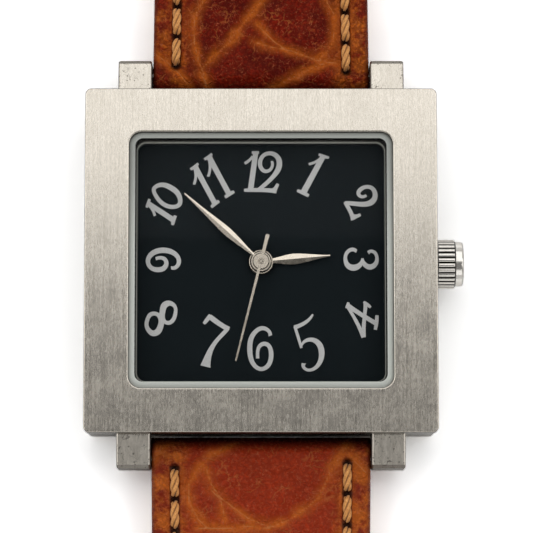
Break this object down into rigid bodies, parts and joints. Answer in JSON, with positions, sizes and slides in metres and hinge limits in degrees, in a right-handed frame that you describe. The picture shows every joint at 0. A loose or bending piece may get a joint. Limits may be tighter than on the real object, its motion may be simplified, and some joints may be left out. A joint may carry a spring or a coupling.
{
  "type": "wristwatch",
  "caption": "Square analogue wristwatch with a brushed steel case, dark dial with large numerals, leaf hands, side crown, and a stitched leather strap closed by a tongue buckle.",
  "frame": {"origin": "centre of the case back's outer face, on which the watch lies", "axes": "+X towards the crown at three o'clock, +Y towards twelve o'clock, +Z out of the dial"},
  "size_m": [0.0381, 0.2405, 0.0082],
  "materials": {
    "case_steel": "brushed along the watch, satin",
    "back_steel": "fine satin",
    "polished_steel": "polished",
    "screw_steel": "turned and polished",
    "spring_steel": "drawn, bare",
    "glass": "polished, clear, ground bevel",
    "gasket_rubber": "moulded, matte",
    "dial_lacquer": "satin lacquer",
    "dial_ring_lacquer": "satin lacquer",
    "numeral_silver": "fine hatched silver",
    "hand_silver": "polished facets, warm silver",
    "gear_brass": "stamped and gilt",
    "plate_brass": "nickel plated, satin",
    "ring_plastic": "moulded, matte",
    "battery_steel": "drawn can, bright",
    "motor_iron": "stamped soft iron",
    "coil_copper": "enamelled copper wire",
    "magnet": "ground magnet",
    "board_green": "solder resist",
    "chip_black": "moulded epoxy",
    "strap_leather": "glossy, creased, reddish brown",
    "keeper_leather": "glossy, reddish brown",
    "lining_leather": "smooth, undyed tan",
    "thread": "twisted waxed thread"
  },
  "bodies": {
    "case": {"case_middle": "case_steel", "bezel": "case_steel", "crystal": "glass", "crystal_gasket": "gasket_rubber", "case_back": "back_steel", "case_back_gasket": "gasket_rubber", "case_back_screws": "screw_steel", "dial": "dial_lacquer", "dial_ring": "dial_ring_lacquer", "dial_numerals": "numeral_silver", "crown_tube": "polished_steel", "movement_ring": "ring_plastic", "main_plate": "plate_brass", "train_bridge": "plate_brass", "battery": "battery_steel", "battery_clamp": "spring_steel", "stator": "motor_iron", "coil_core": "motor_iron", "coil_winding": "coil_copper", "circuit_board": "board_green", "circuit_chip": "chip_black", "quartz_can": "battery_steel", "movement_screws": "screw_steel", "upper_spring_bar": "polished_steel", "upper_bar_spring": "spring_steel", "lower_spring_bar": "polished_steel", "lower_bar_spring": "spring_steel"},
    "minute_work": {"centre_wheel": "gear_brass", "cannon_pinion": "gear_brass", "minute_hand": "hand_silver"},
    "hour_work": {"hour_wheel": "gear_brass", "hour_hand": "hand_silver"},
    "second_work": {"second_wheel": "gear_brass", "second_hand": "hand_silver"},
    "third_work": {"third_wheel": "gear_brass"},
    "intermediate_work": {"intermediate_wheel": "gear_brass"},
    "rotor_work": {"rotor": "magnet"},
    "minute_wheel_work": {"minute_wheel": "gear_brass"},
    "setting_wheel_work": {"setting_wheel": "gear_brass"},
    "crown_seal": {"crown_gasket": "gasket_rubber"},
    "crown_and_stem": {"crown": "polished_steel", "stem": "spring_steel"},
    "pinion": {"sliding_pinion": "spring_steel"},
    "lever": {"setting_lever": "spring_steel"},
    "pinion_yoke": {"yoke": "spring_steel"},
    "upper_tip_left": {"upper_bar_tip_left": "polished_steel"},
    "upper_tip_right": {"upper_bar_tip_right": "polished_steel"},
    "lower_tip_left": {"lower_bar_tip_left": "polished_steel"},
    "lower_tip_right": {"lower_bar_tip_right": "polished_steel"},
    "upper_strap": {"strap_upper": "strap_leather", "strap_upper_lining": "lining_leather", "upper_stitching": "thread", "fixed_keeper": "keeper_leather"},
    "lower_strap": {"strap_lower": "strap_leather", "strap_lower_lining": "lining_leather", "lower_stitching": "thread"},
    "sliding_keeper": {"free_keeper": "keeper_leather"},
    "buckle": {"buckle_frame": "polished_steel", "buckle_bar": "polished_steel"},
    "tongue": {"buckle_tongue": "polished_steel"}
  },
  "joints": [
    {"name": "minute_turn", "type": "hinge", "parent": "case", "child": "minute_work", "pos_m": [0, 0, 0.00292], "axis": [0, 0, -1], "continuous": true},
    {"name": "hour_turn", "type": "hinge", "parent": "case", "child": "hour_work", "pos_m": [0, 0, 0.00456], "axis": [0, 0, -1], "continuous": true},
    {"name": "second_turn", "type": "hinge", "parent": "case", "child": "second_work", "pos_m": [0, 0, 0.00222], "axis": [0, 0, -1], "continuous": true},
    {"name": "third_turn", "type": "hinge", "parent": "case", "child": "third_work", "pos_m": [0.00265, -0.00153, 0.00238], "axis": [0, 0, -1], "continuous": true},
    {"name": "intermediate_turn", "type": "hinge", "parent": "case", "child": "intermediate_work", "pos_m": [0, 0.0024, 0.00219], "axis": [0, 0, -1], "continuous": true},
    {"name": "rotor_turn", "type": "hinge", "parent": "case", "child": "rotor_work", "pos_m": [0, 0.00464, 0.00254], "axis": [0, 0, -1], "continuous": true},
    {"name": "minute_wheel_turn", "type": "hinge", "parent": "case", "child": "minute_wheel_work", "pos_m": [0.0024, 0, 0.00426], "axis": [0, 0, -1], "continuous": true},
    {"name": "setting_wheel_turn", "type": "hinge", "parent": "case", "child": "setting_wheel_work", "pos_m": [0.0052, 0, 0.00426], "axis": [0, 0, -1], "continuous": true},
    {"name": "crown_pull", "type": "slide", "parent": "case", "child": "crown_seal", "axis": [1, 0, 0], "range_m": [0, 0.0009]},
    {"name": "crown_turn", "type": "hinge", "parent": "crown_seal", "child": "crown_and_stem", "pos_m": [0.0179, 0, 0.004], "axis": [1, 0, 0], "continuous": true},
    {"name": "pinion_slide", "type": "slide", "parent": "crown_and_stem", "child": "pinion", "axis": [-1, 0, 0], "range_m": [0, 0.00141]},
    {"name": "lever_swing", "type": "hinge", "parent": "case", "child": "lever", "pos_m": [0.00975, 0.003, 0.00455], "axis": [0, 0, 1], "range_deg": [0, 17.16]},
    {"name": "yoke_swing", "type": "hinge", "parent": "case", "child": "pinion_yoke", "pos_m": [0.00745, -0.003, 0.00475], "axis": [0, 0, 1], "range_deg": [0, 9.63]},
    {"name": "upper_tip_left_press", "type": "slide", "parent": "case", "child": "upper_tip_left", "axis": [1, 0, 0], "range_m": [0, 0.00085], "stiffness_N_per_m": 400, "springref_m": -0.001, "deforming": ["upper_bar_spring"]},
    {"name": "upper_tip_right_press", "type": "slide", "parent": "case", "child": "upper_tip_right", "axis": [-1, 0, 0], "range_m": [0, 0.00085], "stiffness_N_per_m": 400, "springref_m": -0.001, "deforming": ["upper_bar_spring"]},
    {"name": "lower_tip_left_press", "type": "slide", "parent": "case", "child": "lower_tip_left", "axis": [1, 0, 0], "range_m": [0, 0.00085], "stiffness_N_per_m": 400, "springref_m": -0.001, "deforming": ["lower_bar_spring"]},
    {"name": "lower_tip_right_press", "type": "slide", "parent": "case", "child": "lower_tip_right", "axis": [-1, 0, 0], "range_m": [0, 0.00085], "stiffness_N_per_m": 400, "springref_m": -0.001, "deforming": ["lower_bar_spring"]},
    {"name": "upper_strap_swing", "type": "hinge", "parent": "case", "child": "upper_strap", "pos_m": [0, 0.0195, 0.0026], "axis": [1, 0, 0], "range_deg": [-90, 75]},
    {"name": "lower_strap_swing", "type": "hinge", "parent": "case", "child": "lower_strap", "pos_m": [0, -0.0195, 0.0026], "axis": [-1, 0, 0], "range_deg": [-90, 75]},
    {"name": "keeper_slide", "type": "slide", "parent": "upper_strap", "child": "sliding_keeper", "axis": [0, 1, 0], "range_m": [-0.014, 0]},
    {"name": "buckle_swing", "type": "hinge", "parent": "upper_strap", "child": "buckle", "pos_m": [0, 0.0945, 0.003], "axis": [1, 0, 0], "range_deg": [-60, 30]},
    {"name": "tongue_swing", "type": "hinge", "parent": "buckle", "child": "tongue", "pos_m": [0, 0.0945, 0.003], "axis": [1, 0, 0], "range_deg": [0, 80]}
  ],
  "couplings": [
    {"joint": "hour_turn", "follows": "minute_turn", "ratio": 0.083333},
    {"joint": "second_turn", "follows": "minute_turn", "ratio": 60},
    {"joint": "third_turn", "follows": "minute_turn", "ratio": -8},
    {"joint": "intermediate_turn", "follows": "minute_turn", "ratio": -300},
    {"joint": "rotor_turn", "follows": "minute_turn", "ratio": 1800},
    {"joint": "minute_wheel_turn", "follows": "minute_turn", "ratio": -0.33333},
    {"joint": "setting_wheel_turn", "follows": "minute_turn", "ratio": 0.6},
    {"joint": "pinion_slide", "follows": "crown_pull", "ratio": 1.5556},
    {"joint": "lever_swing", "follows": "crown_pull", "rad_per_m": 330.87},
    {"joint": "yoke_swing", "follows": "crown_pull", "rad_per_m": 184.76}
  ]
}
